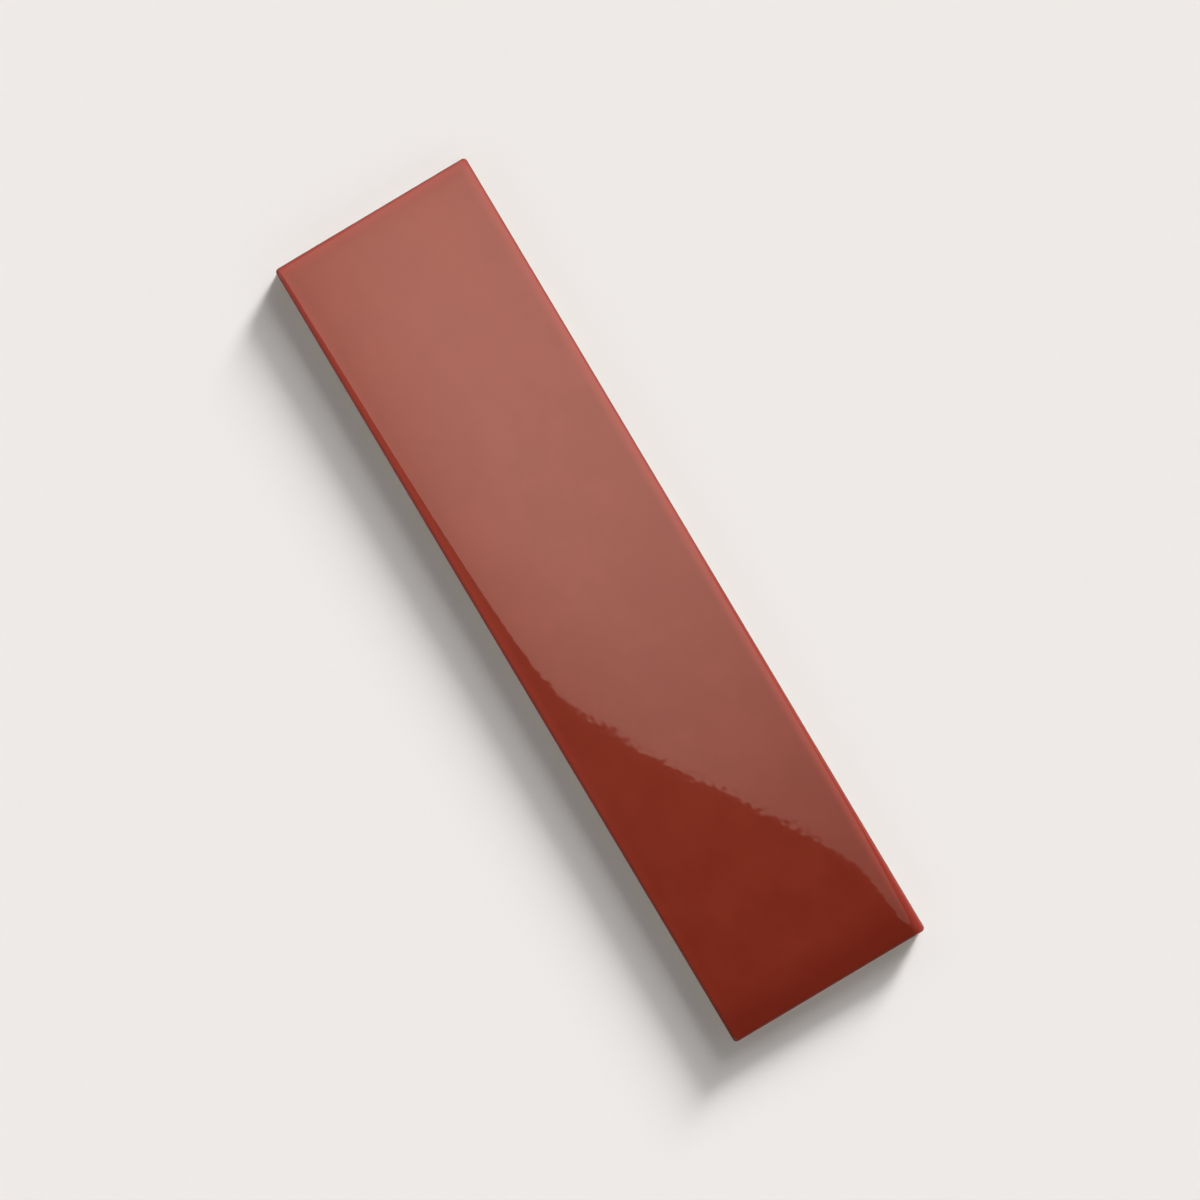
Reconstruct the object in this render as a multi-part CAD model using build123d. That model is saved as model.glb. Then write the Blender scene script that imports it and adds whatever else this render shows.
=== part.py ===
from build123d import *
from math import acos, cos, degrees, radians, sin, tan
import os

# Glazed ceramic wall tile, long and narrow, pressed and fired as one piece.
# It lies on its back with the glazed face up: X runs along it, Y across it and Z out of the face.
# The origin is the middle of the bedding plane, so the back touches Z = 0. Lengths are in millimetres.

# Overall size
LENGTH = 300.0
WIDTH = 74.0
THICKNESS = 8.0

# Face: flat in the middle, then a gentle roll, a rounder shoulder and the glazed arris
ROLL_WIDTH = 8.0
ROLL_RADIUS = 100.0
SHOULDER_WIDTH = 2.6
SHOULDER_RADIUS = 20.0
ARRIS_RADIUS = 0.9

# Seen from above, the corners are a little rounder than the arris
CORNER_EASE = 0.5

# Side: an upright land under the arris, then a drafted part down to an eased back edge
LAND_HEIGHT = 1.9
SIDE_DRAFT = 3.0
BACK_CHAMFER = 0.6

# Back: shallow tapered pockets that key into the adhesive, with a border round them and lands between
KEY_COLUMNS = 12
KEY_ROWS = 3
KEY_DEPTH = 0.7
KEY_BORDER = 5.0
KEY_LAND = 3.6
KEY_CORNER = 2.5
KEY_DRAFT = 35.0


def edge_profile(half: float) -> list[Edge]:
    """Edge of the tile in section, from the flat of the face outwards and down to the back.

    The roll, the shoulder and the arris are arcs, each tangent to the one before, and the arris ends upright.
    """
    roll_end = acos((ROLL_WIDTH - SHOULDER_WIDTH) / ROLL_RADIUS)
    roll_centre = Vector(half - ROLL_WIDTH, THICKNESS - ROLL_RADIUS)
    out_of_roll = Vector(cos(roll_end), sin(roll_end))
    shoulder_centre = roll_centre + out_of_roll * (ROLL_RADIUS - SHOULDER_RADIUS)

    shoulder_reach = half - ARRIS_RADIUS - shoulder_centre.X
    shoulder_end = acos(shoulder_reach / (SHOULDER_RADIUS - ARRIS_RADIUS))
    out_of_shoulder = Vector(cos(shoulder_end), sin(shoulder_end))
    arris_centre = shoulder_centre + out_of_shoulder * (SHOULDER_RADIUS - ARRIS_RADIUS)

    land_foot = arris_centre.Y - LAND_HEIGHT
    back_half = half - (land_foot - BACK_CHAMFER) * tan(radians(SIDE_DRAFT))
    return [
        CenterArc(roll_centre, ROLL_RADIUS, 90, degrees(roll_end) - 90),
        CenterArc(shoulder_centre, SHOULDER_RADIUS, degrees(roll_end), degrees(shoulder_end - roll_end)),
        CenterArc(arris_centre, ARRIS_RADIUS, degrees(shoulder_end), -degrees(shoulder_end)),
        Line((half, arris_centre.Y), (half, land_foot)),
        Line((half, land_foot), (back_half, BACK_CHAMFER)),
        Line((back_half, BACK_CHAMFER), (back_half - BACK_CHAMFER, 0)),
    ]


def section(span: float) -> Sketch:
    """Whole section across one span of the tile, with the same edge at both ends."""
    right = edge_profile(span / 2)
    left = [mirror(edge, about=Plane.YZ) for edge in right]
    face = Line(left[0] @ 0, right[0] @ 0)
    back = Line(left[-1] @ 1, right[-1] @ 1)
    return make_face([face, *right, back, *left])


def mitred_slab() -> Part:
    """Slab with the same edge on all four sides, mitred where two sides meet."""
    along = extrude(Plane.XZ * section(LENGTH), amount=WIDTH / 2, both=True)
    across = extrude(Plane.YZ * section(WIDTH), amount=LENGTH / 2, both=True)
    return along & across


def round_corner(radius: float) -> Part:
    """Quarter turn of the outer strip of the edge, about Z, with its two cut faces along X and Y."""
    strip = Pos(radius / 2, THICKNESS / 2) * Rectangle(radius, THICKNESS)
    edge = Pos(radius - LENGTH / 2, 0) * section(LENGTH)
    return revolve(Plane.XZ * (edge & strip), Axis.Z, 90)


def rounded_slab() -> Part:
    """Slab whose four mitred corners give way to round ones."""
    radius = ARRIS_RADIUS + CORNER_EASE
    x = LENGTH / 2 - radius
    y = WIDTH / 2 - radius
    places = [Pos(x, y), Pos(-x, y) * Rot(Z=90), Pos(-x, -y) * Rot(Z=180), Pos(x, -y) * Rot(Z=270)]
    mitre = Pos(radius / 2, radius / 2, THICKNESS / 2) * Box(radius, radius, THICKNESS)
    corner = round_corner(radius)
    return mitred_slab() - [place * mitre for place in places] + [place * corner for place in places]


def key_pockets() -> Part:
    """Grid of shallow pockets in the back, each narrowing as it goes in."""
    column_pitch = (LENGTH - 2 * KEY_BORDER + KEY_LAND) / KEY_COLUMNS
    row_pitch = (WIDTH - 2 * KEY_BORDER + KEY_LAND) / KEY_ROWS
    mouth = RectangleRounded(column_pitch - KEY_LAND, row_pitch - KEY_LAND, KEY_CORNER)
    pocket = extrude(mouth, amount=KEY_DEPTH, taper=KEY_DRAFT)
    return Part() + [place * pocket for place in GridLocations(column_pitch, row_pitch, KEY_COLUMNS, KEY_ROWS)]


def main() -> None:
    """Builds the tile and writes its solid."""
    os.makedirs("parts", exist_ok=True)
    ceramic_tile = rounded_slab() - key_pockets()
    export_step(ceramic_tile, "parts/ceramic_tile.step")


if __name__ == "__main__":
    main()
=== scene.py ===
"""Looks of a long glazed wall tile that lies on its back with the glazed face up.

Lengths are in metres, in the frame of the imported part: X along the tile, Y across it and Z out of the face.
"""

import logging
import math
from collections.abc import Mapping
from dataclasses import dataclass, field
from enum import Enum
from typing import Any

import bpy
import numpy as np
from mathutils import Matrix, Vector


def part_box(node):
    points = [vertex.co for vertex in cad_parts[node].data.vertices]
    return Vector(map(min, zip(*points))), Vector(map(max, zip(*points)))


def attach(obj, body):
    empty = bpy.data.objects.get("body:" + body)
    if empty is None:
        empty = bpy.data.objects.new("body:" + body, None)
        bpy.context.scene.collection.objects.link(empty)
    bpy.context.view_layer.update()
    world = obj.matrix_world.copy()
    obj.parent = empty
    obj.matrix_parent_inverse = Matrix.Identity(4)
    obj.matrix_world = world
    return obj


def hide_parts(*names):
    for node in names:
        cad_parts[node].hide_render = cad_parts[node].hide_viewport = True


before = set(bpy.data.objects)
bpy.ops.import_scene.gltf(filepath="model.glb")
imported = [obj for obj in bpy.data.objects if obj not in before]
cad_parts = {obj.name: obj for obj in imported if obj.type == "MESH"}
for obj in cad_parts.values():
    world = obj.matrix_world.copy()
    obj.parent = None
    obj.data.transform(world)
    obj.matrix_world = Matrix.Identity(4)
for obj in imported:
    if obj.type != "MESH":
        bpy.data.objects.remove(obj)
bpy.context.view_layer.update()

NODE = "ceramic_tile"
PIECE = "glazed_tile"
BODY = "root"
MM = 0.001

Array = np.ndarray
Colour = tuple[float, float, float]
Span = tuple[float, float]
Settings = Mapping[str, Any]
Inputs = Mapping[str | int, Any]

log = logging.getLogger("ceramic_tile")


class Side(Enum):
    """The sides of a rectangle in the order of a walk round it, with the bearing that each one faces."""

    FRONT = -90.0
    RIGHT = 0.0
    REAR = 90.0
    LEFT = 180.0

    @property
    def outward(self) -> Array:
        """Unit vector that points out of the rectangle through this side."""
        return np.array(bearing_vector(self.value))

    @property
    def along(self) -> Array:
        """Unit vector of the walk along this side."""
        return np.array(bearing_vector(self.value + 90.0))


class Layer(Enum):
    """What the skin of the tile is at a point, as the value of its mesh attribute."""

    BISCUIT = 0.0
    GLAZE_LINE = 0.5
    GLAZE = 1.0


class Lit(Enum):
    """What a key light falls on, by the name of its object."""

    FLOOR = "floor"
    TILE = PIECE


def bearing_vector(bearing: float) -> tuple[float, float]:
    """Unit vector at a bearing.

    Args:
        bearing: angle from +X towards +Y, in degrees.

    Returns:
        The X and Y of the vector.
    """
    return math.cos(math.radians(bearing)), math.sin(math.radians(bearing))


# Shader maths


class Value:
    """One shader output, with Python operators that add Math nodes to its tree."""

    def __init__(self, tree: "ShaderTree", socket: bpy.types.NodeSocket) -> None:
        """Keeps the tree and the socket."""
        self.tree = tree
        self.socket = socket

    def __add__(self, other: "Value | float") -> "Value":
        """Sum."""
        return self.tree.math("ADD", self, other)

    def __radd__(self, other: float) -> "Value":
        """Sum, from the right."""
        return self.tree.math("ADD", other, self)

    def __sub__(self, other: "Value | float") -> "Value":
        """Difference."""
        return self.tree.math("SUBTRACT", self, other)

    def __rsub__(self, other: float) -> "Value":
        """Difference, from the right."""
        return self.tree.math("SUBTRACT", other, self)

    def __mul__(self, other: "Value | float") -> "Value":
        """Product."""
        return self.tree.math("MULTIPLY", self, other)

    def __rmul__(self, other: float) -> "Value":
        """Product, from the right."""
        return self.tree.math("MULTIPLY", other, self)

    def lesser(self, other: "Value | float") -> "Value":
        """The smaller of two values."""
        return self.tree.math("MINIMUM", self, other)

    def rise(self, low: float, high: float) -> "Value":
        """Smooth step from 0 at low to 1 at high."""
        inputs = {"Value": self, "From Min": low, "From Max": high}
        return self.tree.value("ShaderNodeMapRange", {"interpolation_type": "SMOOTHSTEP"}, inputs)


class ShaderTree:
    """A node tree that is filled by expressions."""

    def __init__(self, tree: bpy.types.NodeTree) -> None:
        """Empties the tree."""
        self.tree = tree
        tree.nodes.clear()

    def node(self, kind: str, settings: Settings, inputs: Inputs) -> bpy.types.Node:
        """Adds any node.

        Args:
            kind: the node's type.
            settings: its properties, set before its sockets.
            inputs: a number, colour, vector or Value for each socket that is named.

        Returns:
            The new node.
        """
        node = self.tree.nodes.new(kind)
        for name, setting in settings.items():
            setattr(node, name, setting)
        for name, source in inputs.items():
            if isinstance(source, Value):
                self.tree.links.new(source.socket, node.inputs[name])
            else:
                node.inputs[name].default_value = source
        return node

    def value(self, kind: str, settings: Settings, inputs: Inputs, output: str | int = 0) -> Value:
        """Adds a node and gives one of its outputs as a Value."""
        return Value(self, self.node(kind, settings, inputs).outputs[output])

    def axes(self, place: Value) -> list[Value]:
        """The X, Y and Z of coordinates."""
        split = self.node("ShaderNodeSeparateXYZ", {}, {0: place})
        return [Value(self, axis) for axis in split.outputs]

    def math(self, operation: str, *operands: Value | float) -> Value:
        """Adds a Math node on one or two operands."""
        return self.value("ShaderNodeMath", {"operation": operation}, dict(enumerate(operands)))

    def mix(self, share: Value, first: Value | Colour, second: Value | Colour) -> Value:
        """Mixes two colours.

        Args:
            share: 0 for the first colour, 1 for the second.
            first: a colour.
            second: a colour.

        Returns:
            The mixed colour.
        """
        colours = [c if isinstance(c, Value) else (*c, 1.0) for c in (first, second)]
        inputs = {0: share, 6: colours[0], 7: colours[1]}
        return self.value("ShaderNodeMix", {"data_type": "RGBA"}, inputs, output=2)

    def scale(self, colour: Value, factor: Value) -> Value:
        """Makes a colour that many times as bright."""
        return self.value("ShaderNodeVectorMath", {"operation": "SCALE"}, {0: colour, "Scale": factor})

    def noise(self, place: Value, grain: float, detail: float = 2.0) -> Value:
        """Cloudy noise between 0 and 1.

        Args:
            place: coordinates in metres.
            grain: size of a cloud in metres.
            detail: octaves of finer clouds.

        Returns:
            The noise.
        """
        inputs = {"Vector": place, "Scale": 1.0 / grain, "Detail": detail}
        return self.value("ShaderNodeTexNoise", {}, inputs)

    def specks(self, place: Value, spacing: float, radius: float, share: float, blur: float = 0.5) -> Value:
        """Small round spots scattered at random, 1 inside a spot and 0 outside.

        Args:
            place: coordinates in metres.
            spacing: mean distance between the places where a spot may be.
            radius: radius of a spot.
            share: share of those places that have one.
            blur: half of the width of a spot's soft rim, as a share of its radius.

        Returns:
            The mask of the spots.
        """
        cells = self.node("ShaderNodeTexVoronoi", {}, {"Vector": place, "Scale": 1.0 / spacing})
        distance = Value(self, cells.outputs["Distance"])
        draw = self.value("ShaderNodeSeparateColor", {}, {"Color": Value(self, cells.outputs["Color"])})
        inside = 1.0 - distance.rise((1.0 - blur) * radius / spacing, (1.0 + blur) * radius / spacing)
        return inside * self.math("LESS_THAN", draw, share)


# Finishes


@dataclass(frozen=True)
class Glaze:
    """Glossy brick-red glaze, lighter towards the -X end and darker towards the +X end.

    It has a darker band just inside the +X end and a faint one inside the long sides.
    Its rims are lighter: partly thinner glaze, partly a painted highlight on the -X end and the +Y side,
    which face the lights. Along the -Y side the lighter rim fades out towards +X.
    """

    light: Colour = (0.279, 0.0455, 0.0245)
    deep: Colour = (0.180, 0.0200, 0.0090)
    # Colour of a darker band just inside the +X end and, faintly, inside the long sides.
    dark_band: Colour = (0.136, 0.0140, 0.0064)
    # Lighter rim colour: partly thinner glaze, partly a painted highlight on the rims that face the lights.
    thin_and_highlight: Colour = (0.345, 0.0480, 0.0340)
    pinhole: Colour = (0.090, 0.0100, 0.0060)
    refraction: float = 1.60
    roughness: float = 0.025
    haze: float = 0.020
    haze_levels: Span = (0.45, 0.90)
    # Span over which the glaze goes from its light colour at the -X end to its deep colour at +X.
    run: Span = (-75.0 * MM, 375.0 * MM)
    cloud_grain: float = 14.0 * MM
    cloud_levels: Span = (0.25, 0.75)
    cloud_depth: float = 0.20
    dark_band_reach: Span = (4.0 * MM, 18.0 * MM)
    dark_band_at_sides: float = 0.08
    dark_band_at_end: float = 0.72
    thin_and_highlight_reach: Span = (0.8 * MM, 4.5 * MM)
    thin_and_highlight_share: float = 0.85
    pinhole_spacing: float = 16.0 * MM
    pinhole_radius: float = 0.16 * MM
    pinhole_share: float = 0.35
    pinhole_depth: float = 0.60

    def colour(
        self, tree: ShaderTree, place: Value, ends: tuple[Value, Value], sides: tuple[Value, Value]
    ) -> Value:
        """Colour of the glaze, with lighter rims that are partly thinner glaze and partly painted highlight.

        Args:
            tree: where the nodes go.
            place: object coordinates.
            ends: distances from the -X end and from the +X end.
            sides: distances from the +Y side and from the -Y side.

        Returns:
            The colour.
        """
        # Lighter towards the -X end, darker towards the +X end.
        along = ends[0].rise(*self.run)
        clouds = tree.noise(place, self.cloud_grain, detail=4.0).rise(*self.cloud_levels) - 0.5
        body = tree.mix(along + self.cloud_depth * clouds, self.light, self.deep)
        # Darker band just inside the +X end, and a faint one inside the long sides.
        at_end = self.dark_band_at_end * (1.0 - ends[1].rise(*self.dark_band_reach))
        at_sides = self.dark_band_at_sides * (1.0 - sides[0].lesser(sides[1]).rise(*self.dark_band_reach))
        banded = tree.mix(at_end + (1.0 - at_end) * at_sides, body, self.dark_band)
        # Lighter rims, partly thin glaze, partly painted highlight on the -X end and +Y side that face the
        # lights.
        thin_and_highlit_rims = 1.0 - ends[0].lesser(sides[0]).rise(*self.thin_and_highlight_reach)
        minus_y_rim = (1.0 - along) * (1.0 - sides[1].rise(*self.thin_and_highlight_reach))
        thinned_and_highlit = tree.mix((thin_and_highlit_rims + (1.0 - thin_and_highlit_rims) * minus_y_rim) * self.thin_and_highlight_share, banded, self.thin_and_highlight)
        pinholes = tree.specks(place, self.pinhole_spacing, self.pinhole_radius, self.pinhole_share)
        return tree.mix(pinholes * self.pinhole_depth, thinned_and_highlit, self.pinhole)

    def gloss(self, tree: ShaderTree, place: Value) -> Value:
        """Roughness of the glaze, with a faint cloudy haze."""
        clouds = tree.noise(place, self.cloud_grain, detail=5.0)
        return self.roughness + self.haze * clouds.rise(*self.haze_levels)


@dataclass(frozen=True)
class Biscuit:
    """Bare fired body: off-white, matt and finely grained, with dark mineral specks."""

    light: Colour = (0.80, 0.69, 0.55)
    shade: Colour = (0.68, 0.56, 0.42)
    speck: Colour = (0.24, 0.17, 0.12)
    roughness: float = 0.88
    grain: float = 0.5 * MM
    stain_grain: float = 22.0 * MM
    stain_levels: Span = (0.35, 0.75)
    speck_spacing: float = 3.2 * MM
    speck_radius: float = 0.16 * MM
    speck_share: float = 0.40
    speck_depth: float = 0.70
    relief: float = 0.06 * MM

    def colour(self, tree: ShaderTree, place: Value) -> Value:
        """Colour of the body, stained in soft patches and freckled.

        Args:
            tree: where the nodes go.
            place: object coordinates.

        Returns:
            The colour.
        """
        patches = tree.noise(place, self.stain_grain, detail=6.0).rise(*self.stain_levels)
        body = tree.mix(patches, self.light, self.shade)
        specks = tree.specks(place, self.speck_spacing, self.speck_radius, self.speck_share)
        return tree.mix(specks * self.speck_depth, body, self.speck)

    def height(self, tree: ShaderTree, place: Value) -> Value:
        """Height of the grain above the body, in metres."""
        return self.relief * tree.noise(place, self.grain, detail=3.0)


@dataclass(frozen=True)
class TileFinish:
    """Skin of the tile: glaze above the glaze line, bare body below it."""

    half_length: float
    half_width: float
    glaze: Glaze = Glaze()
    biscuit: Biscuit = Biscuit()
    ragged: float = 0.35
    ragged_grain: float = 0.9 * MM
    line_blur: float = 0.08
    bead: float = 0.05 * MM

    def material(self) -> bpy.types.Material:
        """Builds the material.

        Returns:
            One material whose colour, roughness and relief change at the glaze line.
        """
        made = bpy.data.materials.new("glazed_body")
        made.use_nodes = True
        tree = ShaderTree(made.node_tree)
        place = tree.value("ShaderNodeTexCoord", {}, {}, output="Object")
        x, y, _ = tree.axes(place)
        ends = (self.half_length + x, self.half_length - x)
        sides = (self.half_width - y, self.half_width + y)
        layer = tree.value("ShaderNodeAttribute", {"attribute_name": "glaze"}, {}, output="Fac")
        edge = layer + self.ragged * (tree.noise(place, self.ragged_grain) - 0.5)
        line = Layer.GLAZE_LINE.value
        glazed = edge.rise(line - self.line_blur, line + self.line_blur)

        glaze = self.glaze.colour(tree, place, ends, sides)
        colour = tree.mix(glazed, self.biscuit.colour(tree, place), glaze)
        gloss = glazed * self.glaze.gloss(tree, place) + (1.0 - glazed) * self.biscuit.roughness
        height = (1.0 - glazed) * self.biscuit.height(tree, place) + glazed * self.bead
        relief = tree.value("ShaderNodeBump", {}, {"Strength": 1.0, "Distance": 1.0, "Height": height})
        inputs = {
            "Base Color": colour,
            "Roughness": gloss,
            "Normal": relief,
            "IOR": self.glaze.refraction,
        }
        skin = tree.value("ShaderNodeBsdfPrincipled", {}, inputs)
        tree.node("ShaderNodeOutputMaterial", {}, {"Surface": skin})
        return made


# Meshes


@dataclass
class SurfaceNet:
    """Points and faces of one closed piece, gathered as whole arrays."""

    points: list[Array] = field(default_factory=list)
    layers: list[Array] = field(default_factory=list)
    faces: list[Array] = field(default_factory=list)
    count: int = 0

    def add_points(self, points: Array, layers: Array | float) -> Array:
        """Adds points.

        Args:
            points: coordinates, with X, Y and Z in the last axis.
            layers: value of the glaze attribute, one for all or one for each point.

        Returns:
            The numbers of the points, in the shape of the array without its last axis.
        """
        shape = points.shape[:-1]
        total = math.prod(shape)
        self.points.append(points.reshape(total, 3))
        self.layers.append(np.broadcast_to(layers, shape).reshape(total))
        numbers = np.arange(self.count, self.count + total).reshape(shape)
        self.count += total
        return numbers

    def add_faces(self, faces: Array) -> None:
        """Adds faces of one kind, with the numbers of their corners in the last axis."""
        self.faces.append(faces.reshape(-1, faces.shape[-1]))

    def to_mesh(self, name: str, crease: float) -> bpy.types.Mesh:
        """Makes the mesh.

        Args:
            name: the mesh's name.
            crease: angle in degrees over which an edge is sharp.

        Returns:
            A smooth-shaded mesh with the glaze attribute.
        """
        points = np.concatenate(self.points)
        corners = np.concatenate([faces.ravel() for faces in self.faces])
        sizes = np.concatenate([np.full(len(faces), faces.shape[1]) for faces in self.faces])
        mesh = bpy.data.meshes.new(name)
        mesh.vertices.add(len(points))
        mesh.vertices.foreach_set("co", points.astype(np.float32).ravel())
        mesh.loops.add(len(corners))
        mesh.loops.foreach_set("vertex_index", corners.astype(np.int32))
        mesh.polygons.add(len(sizes))
        mesh.polygons.foreach_set("loop_start", (np.cumsum(sizes) - sizes).astype(np.int32))
        mesh.update(calc_edges=True)
        mesh.validate()
        layer = mesh.attributes.new("glaze", "FLOAT", "POINT")
        layer.data.foreach_set("value", np.concatenate(self.layers).astype(np.float32))
        mesh.shade_smooth()
        mesh.set_sharp_from_angle(angle=math.radians(crease))
        return mesh


def grid_faces(numbers: Array) -> Array:
    """Four-sided faces of a grid of point numbers, facing up when its axes are X and Y in that order."""
    corners = (numbers[:-1, :-1], numbers[1:, :-1], numbers[1:, 1:], numbers[:-1, 1:])
    return np.stack(corners, axis=-1)


def ring_faces(outer: Array, inner: Array) -> Array:
    """Four-sided faces between two rings of point numbers that are walked the same way.

    Args:
        outer: numbers of the first ring, in the last axis.
        inner: numbers of the second ring, in the last axis.

    Returns:
        The faces. They face up where the first ring lies inside the second and the walk is anticlockwise.
    """
    corners = (outer, inner, np.roll(inner, -1, axis=-1), np.roll(outer, -1, axis=-1))
    return np.stack(corners, axis=-1)


@dataclass(frozen=True)
class Ripple:
    """A band of small waves in the glaze: plane waves of random length, heading and phase, added up."""

    shortest: float
    longest: float
    slope: float
    waves: int
    seed: int

    def height(self, x: Array, y: Array) -> Array:
        """Height of the waves.

        Each wave is a cosine of the distance along its heading. All have the same share of the slope.

        Args:
            x: X of the points.
            y: Y of the points.

        Returns:
            The height, with the band's root mean square slope.
        """
        draw = np.random.default_rng(self.seed)
        number = 2.0 * np.pi / draw.uniform(self.shortest, self.longest, self.waves)
        heading = draw.uniform(0.0, 2.0 * np.pi, self.waves)
        phase = draw.uniform(0.0, 2.0 * np.pi, self.waves)
        swell = self.slope * math.sqrt(2.0 / self.waves) / number
        distance = x[..., None] * np.cos(heading) + y[..., None] * np.sin(heading)
        return (swell * np.cos(number * distance + phase)).sum(axis=-1)


@dataclass(frozen=True)
class Edge:
    """Edge of the tile in section: roll, arris, glaze line, drafted side and eased back edge."""

    roll_drop: float = 0.396 * MM
    roll_length: float = 1.92 * MM
    corner_blend: float = 3.0
    corner_radius: float = 1.4 * MM
    arris_radius: float = 1.2 * MM
    arris_steps: int = 9
    line_height: float = 5.45 * MM
    line_wander: float = 0.44 * MM
    line_waves: int = 28
    line_cycles: tuple[int, int] = (3, 140)
    line_weights: Span = (0.4, 1.0)
    line_recess: float = 0.03 * MM
    bead_rise: float = 0.22 * MM
    bead_fall: float = 0.11 * MM
    body_recess: float = 0.10 * MM
    land_foot: float = 4.5 * MM
    side_draft: float = 3.0
    side_steps: int = 3
    back_round: float = 0.6 * MM
    back_steps: int = 3
    seed: int = 7

    def roll(self, inset: Array) -> Array:
        """How far the face has dropped at a distance from a side: an exponential that dies away inwards."""
        return self.roll_drop * np.exp(-inset / self.roll_length)

    def wander(self, share: Array) -> Array:
        """Height of the glaze line round the tile, as waves that close on themselves.

        Args:
            share: share of the way round, from 0 to 1.

        Returns:
            The height of the line, where finer waves are lower.
        """
        draw = np.random.default_rng(self.seed)
        cycles = np.unique(np.geomspace(*self.line_cycles, self.line_waves).astype(int))
        phase = draw.uniform(0.0, 2.0 * np.pi, len(cycles))
        weight = draw.uniform(*self.line_weights, len(cycles)) / np.sqrt(cycles)
        waves = (weight * np.cos(2.0 * np.pi * cycles * share[:, None] + phase)).sum(axis=-1)
        return self.line_height + self.line_wander * waves / np.abs(waves).max()

    def arris(self) -> tuple[Array, Array]:
        """Section of the arris: an arc that leaves the roll tangentially and ends upright.

        Returns:
            The reach of its points out of the rim of the face, and their fall below it.
        """
        slope = math.atan(self.roll(np.array(self.corner_radius)) / self.roll_length)
        turn = np.linspace(slope, 0.5 * np.pi, self.arris_steps + 1)
        lead = self.corner_radius - self.arris_radius * (1.0 - math.sin(slope))
        reach = self.corner_radius - self.arris_radius * (1.0 - np.sin(turn))
        fall = lead * math.tan(slope) + self.arris_radius * (math.cos(slope) - np.cos(turn))
        return reach, fall

    def bare_side(self) -> tuple[Array, Array]:
        """Section of the bare body: a straight drafted side, then a quarter round on to the back.

        Returns:
            The reach of its points out of the rim of the face, and their heights.
        """
        body_reach = self.corner_radius - self.body_recess
        lean = math.tan(math.radians(self.side_draft))
        back_reach = body_reach - (self.land_foot - self.back_round) * lean
        down = np.linspace(0.0, 1.0, self.side_steps + 1)
        turn = np.linspace(0.0, 0.5 * np.pi, self.back_steps + 1)[1:]
        side_reach = body_reach + down * (back_reach - body_reach)
        side_height = self.land_foot + down * (self.back_round - self.land_foot)
        round_reach = back_reach - self.back_round * (1.0 - np.cos(turn))
        round_height = self.back_round * (1.0 - np.sin(turn))
        return np.concatenate((side_reach, round_reach)), np.concatenate((side_height, round_height))

    def rings(self, rim: Array, share: Array) -> tuple[Array, Array, Array]:
        """Edge below the rim of the face, as rings that go out and down.

        The glaze ends in a small bead, and below its wandering line the body is set back.

        Args:
            rim: height of the face at each station round the rim.
            share: share of the way round of each station.

        Returns:
            For each ring: its reach out of the rim, its heights at the stations, and its glaze attribute.
        """
        arris_reach, arris_fall = self.arris()
        side_reach, side_height = self.bare_side()
        line = self.wander(share)
        bead_top = line + self.bead_rise
        land_middle = 0.5 * (rim - arris_fall[-1] + bead_top)
        bead_reach = self.corner_radius - np.array([0.0, 0.0, self.line_recess, self.body_recess])
        bead_height = np.stack((land_middle, bead_top, line, line - self.bead_fall))

        reach = np.concatenate((arris_reach, bead_reach, side_reach))
        arris_height = rim - arris_fall[:, None]
        side_heights = np.repeat(side_height[:, None], len(share), axis=1)
        height = np.concatenate((arris_height, bead_height, side_heights))
        layers = (Layer.GLAZE.value, Layer.GLAZE_LINE.value, Layer.BISCUIT.value)
        layer = np.repeat(layers, (len(arris_reach) + 2, 1, len(side_reach) + 1))
        return reach, height, layer


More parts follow.
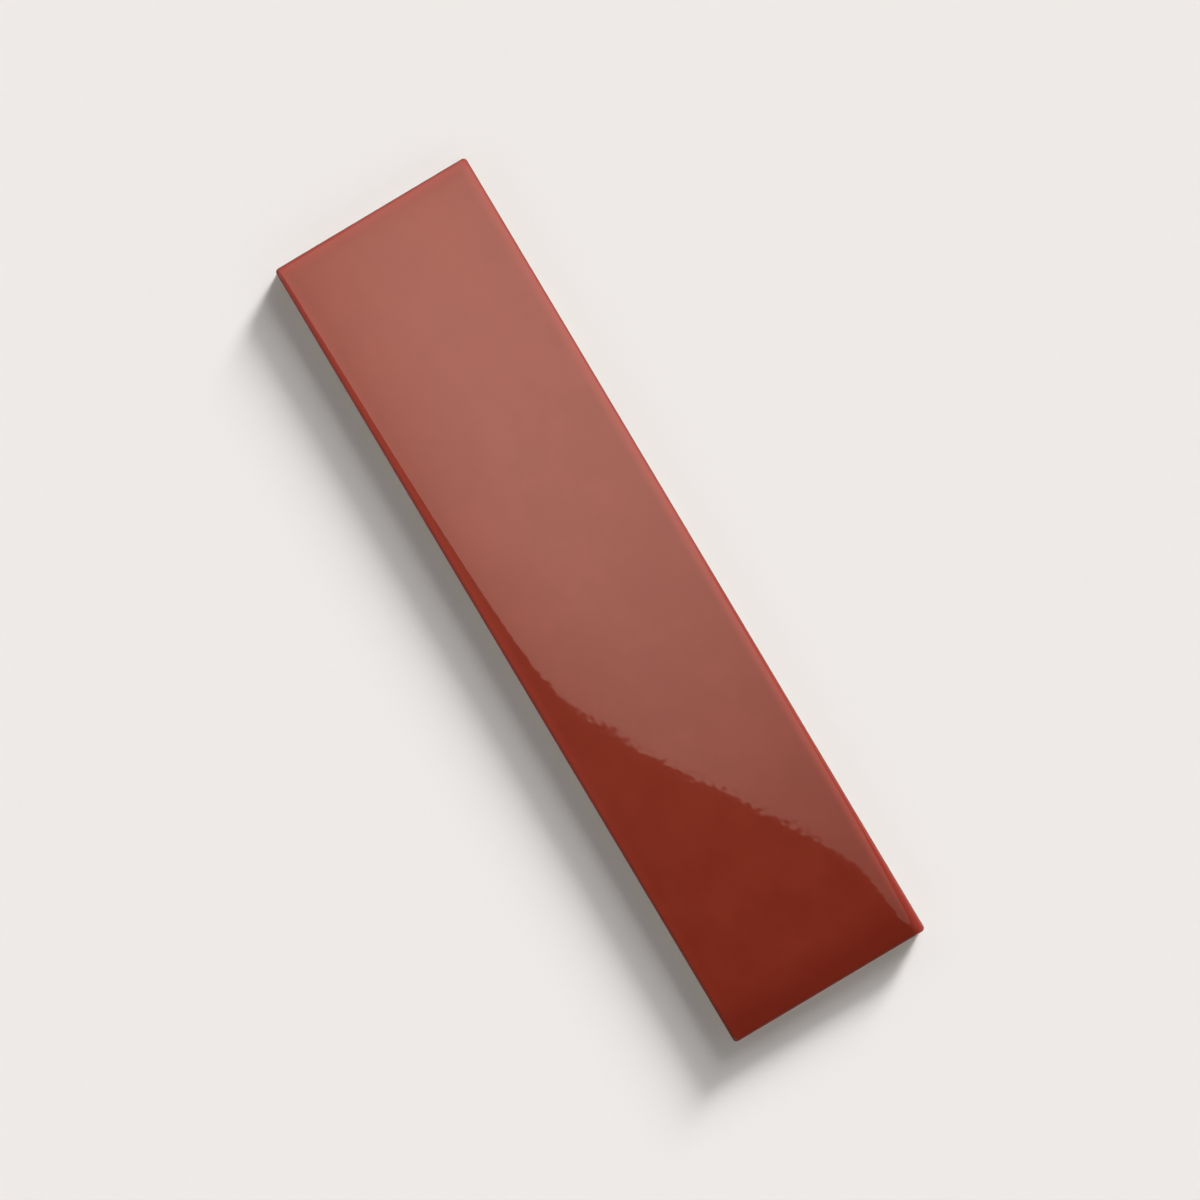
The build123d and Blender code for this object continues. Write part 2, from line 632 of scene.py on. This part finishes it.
@dataclass(frozen=True)
class KeyedBack:
    """Back of the tile: a grid of shallow pockets with rounded corners, between flat lands."""

    columns: int = 12
    rows: int = 3
    border: float = 5.0 * MM
    land: float = 3.6 * MM
    corner: float = 2.5 * MM
    depth: float = 0.7 * MM
    steps: int = 9
    corner_steps: int = 2
    wall_insets: tuple[float, ...] = (-0.35 * MM, -0.10 * MM, 0.10 * MM, 0.35 * MM, 0.60 * MM, 1.20 * MM)
    wall_depths: tuple[float, ...] = (0.0, 0.09, 0.36, 0.83, 0.985, 1.0)
    weld: float = 0.001 * MM

    def pitch(self, length: float, width: float) -> Array:
        """Distance from pocket to pocket along X and along Y, for a tile of that size."""
        spans = np.array([length, width]) - 2.0 * self.border + self.land
        return spans / (self.columns, self.rows)

    def loop(self, half: Array, radius: float) -> Array:
        """Rectangle with round corners, as points walked anticlockwise from the middle of a corner.

        On each side the first and last steps turn along the corners' arcs, and those between are even.
        A rectangle without radius has even steps all the way.

        Args:
            half: half of its size along X and along Y.
            radius: radius of its corners.

        Returns:
            The X and Y of the points.
        """
        step = np.arange(self.steps)
        tail = self.steps - self.corner_steps
        if radius == 0.0:
            turn, run = np.zeros(self.steps), step / self.steps
        else:
            turn = np.minimum(step / self.corner_steps, 1.0) - 1.0
            turn += np.maximum(step - tail, 0) / self.corner_steps
            run = np.clip((step - self.corner_steps) / (tail - self.corner_steps), 0.0, 1.0)
        turn = turn[:, None] * 0.25 * np.pi
        run = run[:, None] * 2.0 - 1.0
        sides = []
        for side in Side:
            half_along, half_out = abs(side.along) @ half, abs(side.outward) @ half
            along = run * (half_along - radius) + radius * np.sin(turn)
            out = half_out - radius + radius * np.cos(turn)
            sides.append(along * side.along + out * side.outward)
        return np.concatenate(sides)

    def build(self, net: SurfaceNet, length: float, width: float) -> Array:
        """Adds the lands and pockets.

        Each pocket is a set of rings that narrow as they go into the body: from the middle of the lands
        round it, over the eased mouth, down the wall and on to the floor.

        Args:
            net: where the points and faces go.
            length: length of the tile.
            width: width of the tile.

        Returns:
            The numbers of the points on the outline of the grid, walked anticlockwise from its low corner.
        """
        pitch = self.pitch(length, width)
        column, row = np.meshgrid(np.arange(self.columns), np.arange(self.rows), indexing="ij")
        cell = np.stack((column, row), axis=-1).reshape(-1, 2)
        middle = (cell - 0.5 * np.array([self.columns - 1, self.rows - 1])) * pitch
        lands = middle[:, None] + self.loop(0.5 * pitch, 0.0)
        outline = self.outline(pitch)
        flat = np.concatenate((lands.reshape(-1, 2), outline))
        keys = np.round(flat / self.weld).astype(np.int64)
        _, first, same = np.unique(keys, axis=0, return_index=True, return_inverse=True)
        points = np.column_stack((flat[first], np.zeros(len(first))))
        welded = net.add_points(points, Layer.BISCUIT.value)[same.ravel()]
        rings = [welded[:-len(outline)].reshape(lands.shape[:2])]

        mouth = 0.5 * (pitch - self.land)
        for inset, share in zip(self.wall_insets, self.wall_depths):
            loop = middle[:, None] + self.loop(mouth - inset, self.corner - inset)
            height = np.full((*loop.shape[:2], 1), share * self.depth)
            rings.append(net.add_points(np.concatenate((loop, height), axis=-1), Layer.BISCUIT.value))
        for outer, inner in zip(rings, rings[1:]):
            net.add_faces(ring_faces(outer, inner))
        net.add_faces(rings[-1][:, ::-1])
        return welded[-len(outline):]

    def outline(self, pitch: Array) -> Array:
        """Rectangle round the whole grid, as points a step of a pocket apart, walked anticlockwise.

        Args:
            pitch: distance from pocket to pocket along X and along Y.

        Returns:
            The X and Y of the points.
        """
        half = 0.5 * pitch * (self.columns, self.rows)
        sides = []
        for side in Side:
            count = self.steps * int(abs(side.along) @ (self.columns, self.rows))
            run = np.linspace(-1.0, 1.0, count, endpoint=False)[:, None]
            along = run * (abs(side.along) @ half)
            out = abs(side.outward) @ half
            sides.append(along * side.along + out * side.outward)
        return np.concatenate(sides)


@dataclass
class GlazedTile:
    """The fired tile, as one closed surface: face, edges and keyed back."""

    length: float
    width: float
    thickness: float
    edge: Edge = Edge()
    back: KeyedBack = KeyedBack()
    steps_per_land: int = 4
    corner_steps: int = 6
    crease: float = 42.0
    ripples: tuple[Ripple, ...] = (
        Ripple(shortest=2.0 * MM, longest=4.2 * MM, slope=0.0014, waves=28, seed=11),
        Ripple(shortest=8.0 * MM, longest=16.0 * MM, slope=0.0004, waves=16, seed=12),
        Ripple(shortest=28.0 * MM, longest=80.0 * MM, slope=0.0008, waves=10, seed=13),
    )

    def face_height(self, x: Array, y: Array) -> Array:
        """Height of the glazed face.

        The face is level but for the roll along its sides and the ripples. The rolls of two sides are
        joined by a power sum, so that the face turns down smoothly into its corners.

        Args:
            x: X of the points.
            y: Y of the points.

        Returns:
            The height, nowhere over the thickness of the tile.
        """
        power = self.edge.corner_blend
        ends = self.edge.roll(0.5 * self.length - np.abs(x)) ** power
        sides = self.edge.roll(0.5 * self.width - np.abs(y)) ** power
        waves = sum(ripple.height(x, y) for ripple in self.ripples)
        return self.thickness - (ends + sides) ** (1.0 / power) + waves - waves.max()

    def build_face(self, net: SurfaceNet) -> Array:
        """Adds the face as a grid, set in from the sides by the radius of the corners.

        Args:
            net: where the points and faces go.

        Returns:
            The numbers of the points, X in the first axis and Y in the second.
        """
        across = self.back.steps * self.steps_per_land
        half_x = 0.5 * self.length - self.edge.corner_radius
        half_y = 0.5 * self.width - self.edge.corner_radius
        x, y = np.meshgrid(
            np.linspace(-half_x, half_x, across * self.back.columns + 1),
            np.linspace(-half_y, half_y, across * self.back.rows + 1),
            indexing="ij",
        )
        numbers = net.add_points(np.stack((x, y, self.face_height(x, y)), axis=-1), Layer.GLAZE.value)
        net.add_faces(grid_faces(numbers))
        return numbers

    def build_edge(self, net: SurfaceNet, face: Array) -> list[Array]:
        """Adds the edge: its section carried round the rim of the face and turned about each corner.

        Args:
            net: where the points and faces go.
            face: numbers of the points of the face.

        Returns:
            The numbers of the points of the last ring, one array for each side with the turn after it.
        """
        walks = (face[:, 0], face[-1, :], face[::-1, -1], face[0, ::-1])
        fan = np.arange(1, self.corner_steps) / self.corner_steps
        stations, bearings = [], []
        for side, walk in zip(Side, walks):
            stations.append(np.concatenate((walk, np.full(len(fan), walk[-1]))))
            bearings.append(np.concatenate((np.full(len(walk), side.value), side.value + 90.0 * fan)))
        ends = np.cumsum([len(walk) for walk in stations])[:-1]
        station = np.concatenate(stations)
        bearing = np.radians(np.concatenate(bearings))
        rim = np.concatenate(net.points)[station]

        reach, height, layer = self.edge.rings(rim[:, 2], np.arange(len(station)) / len(station))
        outward = np.stack((np.cos(bearing), np.sin(bearing)), axis=-1)
        plan = rim[:, :2] + reach[:, None, None] * outward
        rings = net.add_points(np.concatenate((plan, height[..., None]), axis=-1), layer[:, None])
        net.add_faces(ring_faces(rings[:-1], rings[1:]))

        first = ring_faces(station, rings[0])
        turning = first[:, 0] == first[:, 3]
        net.add_faces(first[~turning])
        net.add_faces(first[turning][:, :3])
        return np.split(rings[-1], ends)

    def build_back(self, net: SurfaceNet, foot: list[Array]) -> None:
        """Adds the back: the keyed grid, and the flat border that joins it to the edge.

        Args:
            net: where the points and faces go.
            foot: numbers of the points of the edge's last ring, side by side.
        """
        outline = self.back.build(net, self.length, self.width)
        start = 0
        for number, side in enumerate(foot):
            following = foot[(number + 1) % len(foot)]
            straight = len(side) - self.corner_steps + 1
            count = (straight - 1) // self.steps_per_land
            inner = outline[(start + np.arange(count + 1)) % len(outline)]
            outer = np.lib.stride_tricks.sliding_window_view(side[:straight], self.steps_per_land + 1)
            outer = outer[:: self.steps_per_land]
            strip = np.column_stack((inner[:-1], inner[1:], outer[:, ::-1]))
            corner = np.concatenate((side[straight - 1:], following[:1], inner[-1:]))
            net.add_faces(strip)
            net.add_faces(corner[None, ::-1])
            start += count

    def build(self) -> bpy.types.Object:
        """Builds the piece and dresses it.

        Returns:
            The tile's object, at the origin.
        """
        net = SurfaceNet()
        face = self.build_face(net)
        foot = self.build_edge(net, face)
        self.build_back(net, foot)
        piece = bpy.data.objects.new(PIECE, net.to_mesh(PIECE, self.crease))
        bpy.context.scene.collection.objects.link(piece)
        self.dress(piece)
        return piece

    def dress(self, piece: bpy.types.Object) -> None:
        """Gives the piece its skin of glaze and bare body."""
        finish = TileFinish(half_length=0.5 * self.length, half_width=0.5 * self.width)
        piece.data.materials.append(finish.material())


# Studio


@dataclass(frozen=True)
class OverheadCamera:
    """Long lens straight above the tile, turned so that the tile lies aslant in the picture."""

    span: float = 0.40
    lens: float = 200.0
    sensor: float = 36.0
    turn: float = 59.2

    @property
    def distance(self) -> float:
        """Distance from the face at which the picture is as wide as the span."""
        return self.span * self.lens / self.sensor

    def place(self, face: float) -> bpy.types.Object:
        """Adds the camera and makes it the scene's own.

        Args:
            face: height of the tile's face.

        Returns:
            The camera's object.
        """
        data = bpy.data.cameras.new("camera")
        data.lens, data.sensor_width = self.lens, self.sensor
        camera = bpy.data.objects.new("camera", data)
        camera.location = (0.0, 0.0, face + self.distance)
        camera.rotation_euler = (0.0, 0.0, math.radians(self.turn))
        bpy.context.scene.collection.objects.link(camera)
        bpy.context.scene.camera = camera
        return camera


@dataclass(frozen=True)
class Softbox:
    """Bright panel over one part of the tile, whose near edge is mirrored slantwise across the face."""

    edge_point: tuple[float, float] = (67.5 * MM, -2.5 * MM)
    edge_bearing: float = 31.5
    height: float = 0.75
    depth: float = 0.62
    reach_left: float = 0.56
    reach_right: float = 0.15
    colour: Colour = (1.0, 0.71, 0.60)
    unlit: Colour = (0.0, 0.0, 0.0)
    radiance: float = 2.78
    dim_far: Span = (-0.10, 0.26)
    dim_near: Span = (-0.14, -0.28)
    dim_left: Span = (0.004, -0.062)
    far_share: float = 0.20
    near_share: float = 0.75
    left_share: float = 0.67

    def place(self, face: float, distance: float) -> bpy.types.Object:
        """Adds the panel.

        Args:
            face: height of the tile's face.
            distance: distance of the camera from the face, which sets where the mirrored edge falls.

        Returns:
            The panel's object.
        """
        spread = 1.0 + self.height / distance
        along = np.array(bearing_vector(self.edge_bearing))
        inward = np.array(bearing_vector(self.edge_bearing + 90.0))
        edge = spread * np.array(self.edge_point)
        corners = np.array([
            edge - self.reach_left * along,
            edge - self.reach_left * along + self.depth * inward,
            edge + self.reach_right * along + self.depth * inward,
            edge + self.reach_right * along,
        ])
        points = np.column_stack((corners, np.full(4, face + self.height)))
        mesh = bpy.data.meshes.new("softbox")
        mesh.from_pydata(points.tolist(), [], [(0, 1, 2, 3)])
        panel = bpy.data.objects.new("softbox", mesh)
        panel.data.materials.append(self.material())
        panel.visible_camera = panel.visible_diffuse = panel.visible_shadow = False
        bpy.context.scene.collection.objects.link(panel)
        return panel

    def material(self) -> bpy.types.Material:
        """Glow of the panel, dimmer towards both ends of the tile along X and towards one side along Y.

        Returns:
            The panel's material.
        """
        made = bpy.data.materials.new("softbox")
        made.use_nodes = True
        tree = ShaderTree(made.node_tree)
        x, y, _ = tree.axes(tree.value("ShaderNodeTexCoord", {}, {}, output="Object"))
        far = 1.0 - (1.0 - self.far_share) * x.rise(*self.dim_far)
        near = 1.0 - (1.0 - self.near_share) * x.rise(*self.dim_near)
        left = 1.0 - (1.0 - self.left_share) * y.rise(*self.dim_left)
        colour = tree.mix(far * near * left, self.unlit, self.colour)
        glow = tree.value("ShaderNodeEmission", {}, {"Color": colour, "Strength": self.radiance})
        tree.node("ShaderNodeOutputMaterial", {}, {"Surface": glow})
        return made


@dataclass(frozen=True)
class Key:
    """Wide, distant and soft light that falls on one object only and isn't mirrored."""

    name: str
    lit: Lit
    share: float
    elevation: float
    spread: float

    def hang(self, towards: Vector) -> bpy.types.Object:
        """Adds the light.

        Args:
            towards: unit vector towards the light.

        Returns:
            The lamp's object.
        """
        lamp = bpy.data.lights.new(self.name, "SUN")
        lamp.angle = math.radians(self.spread)
        lamp.energy = self.share * math.pi / towards.z
        lamp.cycles.max_bounces = 0
        key = bpy.data.objects.new(self.name, lamp)
        key.rotation_euler = towards.to_track_quat("Z", "Y").to_euler()
        key.visible_glossy = False
        receivers = bpy.data.collections.new(self.name)
        receivers.objects.link(bpy.data.objects[self.lit.value])
        key.light_linking.receiver_collection = receivers
        bpy.context.scene.collection.objects.link(key)
        return key


@dataclass(frozen=True)
class Studio:
    """Pale floor, soft keys from one side, a faint fill and a softbox overhead, and walls for the gloss."""

    floor_colour: Colour = (0.856, 0.828, 0.812)
    floor_roughness: float = 0.95
    floor_size: float = 40.0
    floor_gap: float = 0.05 * MM
    key_bearing: float = 120.2
    keys: tuple[Key, ...] = (
        Key("low_key", Lit.FLOOR, share=0.48, elevation=15.2, spread=14.0),
        Key("high_key", Lit.FLOOR, share=0.19, elevation=29.0, spread=33.0),
        Key("fill_key", Lit.FLOOR, share=0.03, elevation=90.0, spread=40.0),
        Key("tile_key", Lit.TILE, share=0.74, elevation=42.0, spread=50.0),
    )
    lit_wall: Colour = (0.60, 0.59, 0.58)
    shaded_wall: Colour = (0.30, 0.295, 0.29)
    zenith: Colour = (0.02, 0.02, 0.02)
    lit_side: Span = (-0.5, 0.5)
    haze_heights: Span = (0.0, 0.08)
    wall_heights: Span = (0.30, 0.80)
    panels: float = 24.0
    panel_turn: float = 120.0
    panel_edge: Span = (-0.06, 0.06)
    panel_tops: Span = (0.31, 0.33)
    panel_depth: float = 0.45
    windows: float = 17.0
    window_turn: float = 225.0
    window_jamb: Span = (0.55, 0.75)
    window_sill: Span = (0.36, 0.40)
    window_lintel: Span = (0.74, 0.78)
    window_colour: Colour = (1.40, 1.365, 1.34)
    softbox: Softbox = Softbox()

    def lay_floor(self) -> bpy.types.Object:
        """Adds the floor as one wide square just under the tile.

        Returns:
            The floor's object.
        """
        name = Lit.FLOOR.value
        half = 0.5 * self.floor_size
        corners = [side.outward * half + side.along * half for side in Side]
        points = [(*corner, -self.floor_gap) for corner in corners]
        mesh = bpy.data.meshes.new(name)
        mesh.from_pydata(points, [], [(0, 1, 2, 3)])
        made = bpy.data.materials.new(name)
        made.use_nodes = True
        tree = ShaderTree(made.node_tree)
        inputs = {
            "Base Color": (*self.floor_colour, 1.0),
            "Roughness": self.floor_roughness,
            "Specular IOR Level": 0.0,
        }
        paper = tree.value("ShaderNodeBsdfPrincipled", {}, inputs)
        tree.node("ShaderNodeOutputMaterial", {}, {"Surface": paper})
        mesh.materials.append(made)
        floor = bpy.data.objects.new(name, mesh)
        bpy.context.scene.collection.objects.link(floor)
        return floor

    def direction(self, elevation: float) -> Vector:
        """Direction of the lights at one height.

        Args:
            elevation: angle above the floor, in degrees.

        Returns:
            The unit vector towards them.
        """
        x, y = bearing_vector(self.key_bearing)
        level = math.cos(math.radians(elevation))
        return Vector((x * level, y * level, math.sin(math.radians(elevation))))

    def surround(self) -> None:
        """Sets the world: as pale as the floor at the horizon, then grey walls, and dark overhead.

        The walls are brighter on the side of the keys. Their light and dark panels, and the tall narrow
        windows above them, follow the cosines of multiples of the bearing.
        """
        world = bpy.data.worlds.new("surroundings")
        world.use_nodes = True
        tree = ShaderTree(world.node_tree)
        x, y, height = tree.axes(tree.value("ShaderNodeTexCoord", {}, {}, output="Generated"))
        key_x, key_y = bearing_vector(self.key_bearing)
        lit = (key_x * x + key_y * y).rise(*self.lit_side)
        bearing = tree.math("ARCTAN2", y, x)
        ribs = tree.math("COSINE", bearing * self.panels + math.radians(self.panel_turn))
        panel = ribs.rise(*self.panel_edge)
        panel_depth = self.panel_depth * (1.0 - height.rise(*self.panel_tops))
        plain_walls = tree.mix(lit, self.shaded_wall, self.lit_wall)
        walls = tree.scale(plain_walls, 1.0 + panel_depth * (2.0 * panel - 1.0))
        hazy = tree.mix(height.rise(*self.haze_heights), self.floor_colour, walls)
        sky = tree.mix(height.rise(*self.wall_heights), hazy, self.zenith)
        wave = tree.math("COSINE", bearing * self.windows + math.radians(self.window_turn))
        upright = height.rise(*self.window_sill) * (1.0 - height.rise(*self.window_lintel))
        colour = tree.mix(wave.rise(*self.window_jamb) * upright, sky, self.window_colour)
        light = tree.value("ShaderNodeBackground", {}, {"Color": colour})
        tree.node("ShaderNodeOutputWorld", {}, {"Surface": light})
        bpy.context.scene.world = world

    def build(self, face: float, distance: float) -> list[bpy.types.Object]:
        """Sets up the floor, the lights and the surroundings.

        Args:
            face: height of the tile's face.
            distance: distance of the camera from the face.

        Returns:
            The objects of the studio.
        """
        floor = self.lay_floor()
        panel = self.softbox.place(face, distance)
        lamps = [key.hang(self.direction(key.elevation)) for key in self.keys]
        self.surround()
        bpy.context.scene.view_settings.view_transform = "Standard"
        return [floor, panel, *lamps]


def main() -> None:
    """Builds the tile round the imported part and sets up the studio."""
    logging.basicConfig(level=logging.INFO, format="%(name)s: %(message)s")
    low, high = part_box(NODE)
    tile = GlazedTile(*(high - low))
    piece = tile.build()
    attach(piece, BODY)
    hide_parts(NODE)
    log.info("%s: %d points, %d faces", piece.name, len(piece.data.vertices), len(piece.data.polygons))

    camera = OverheadCamera()
    studio = [camera.place(tile.thickness), *Studio().build(tile.thickness, camera.distance)]
    for thing in studio:
        log.info("studio: %s", thing.name)


if __name__ == "__main__":
    main()
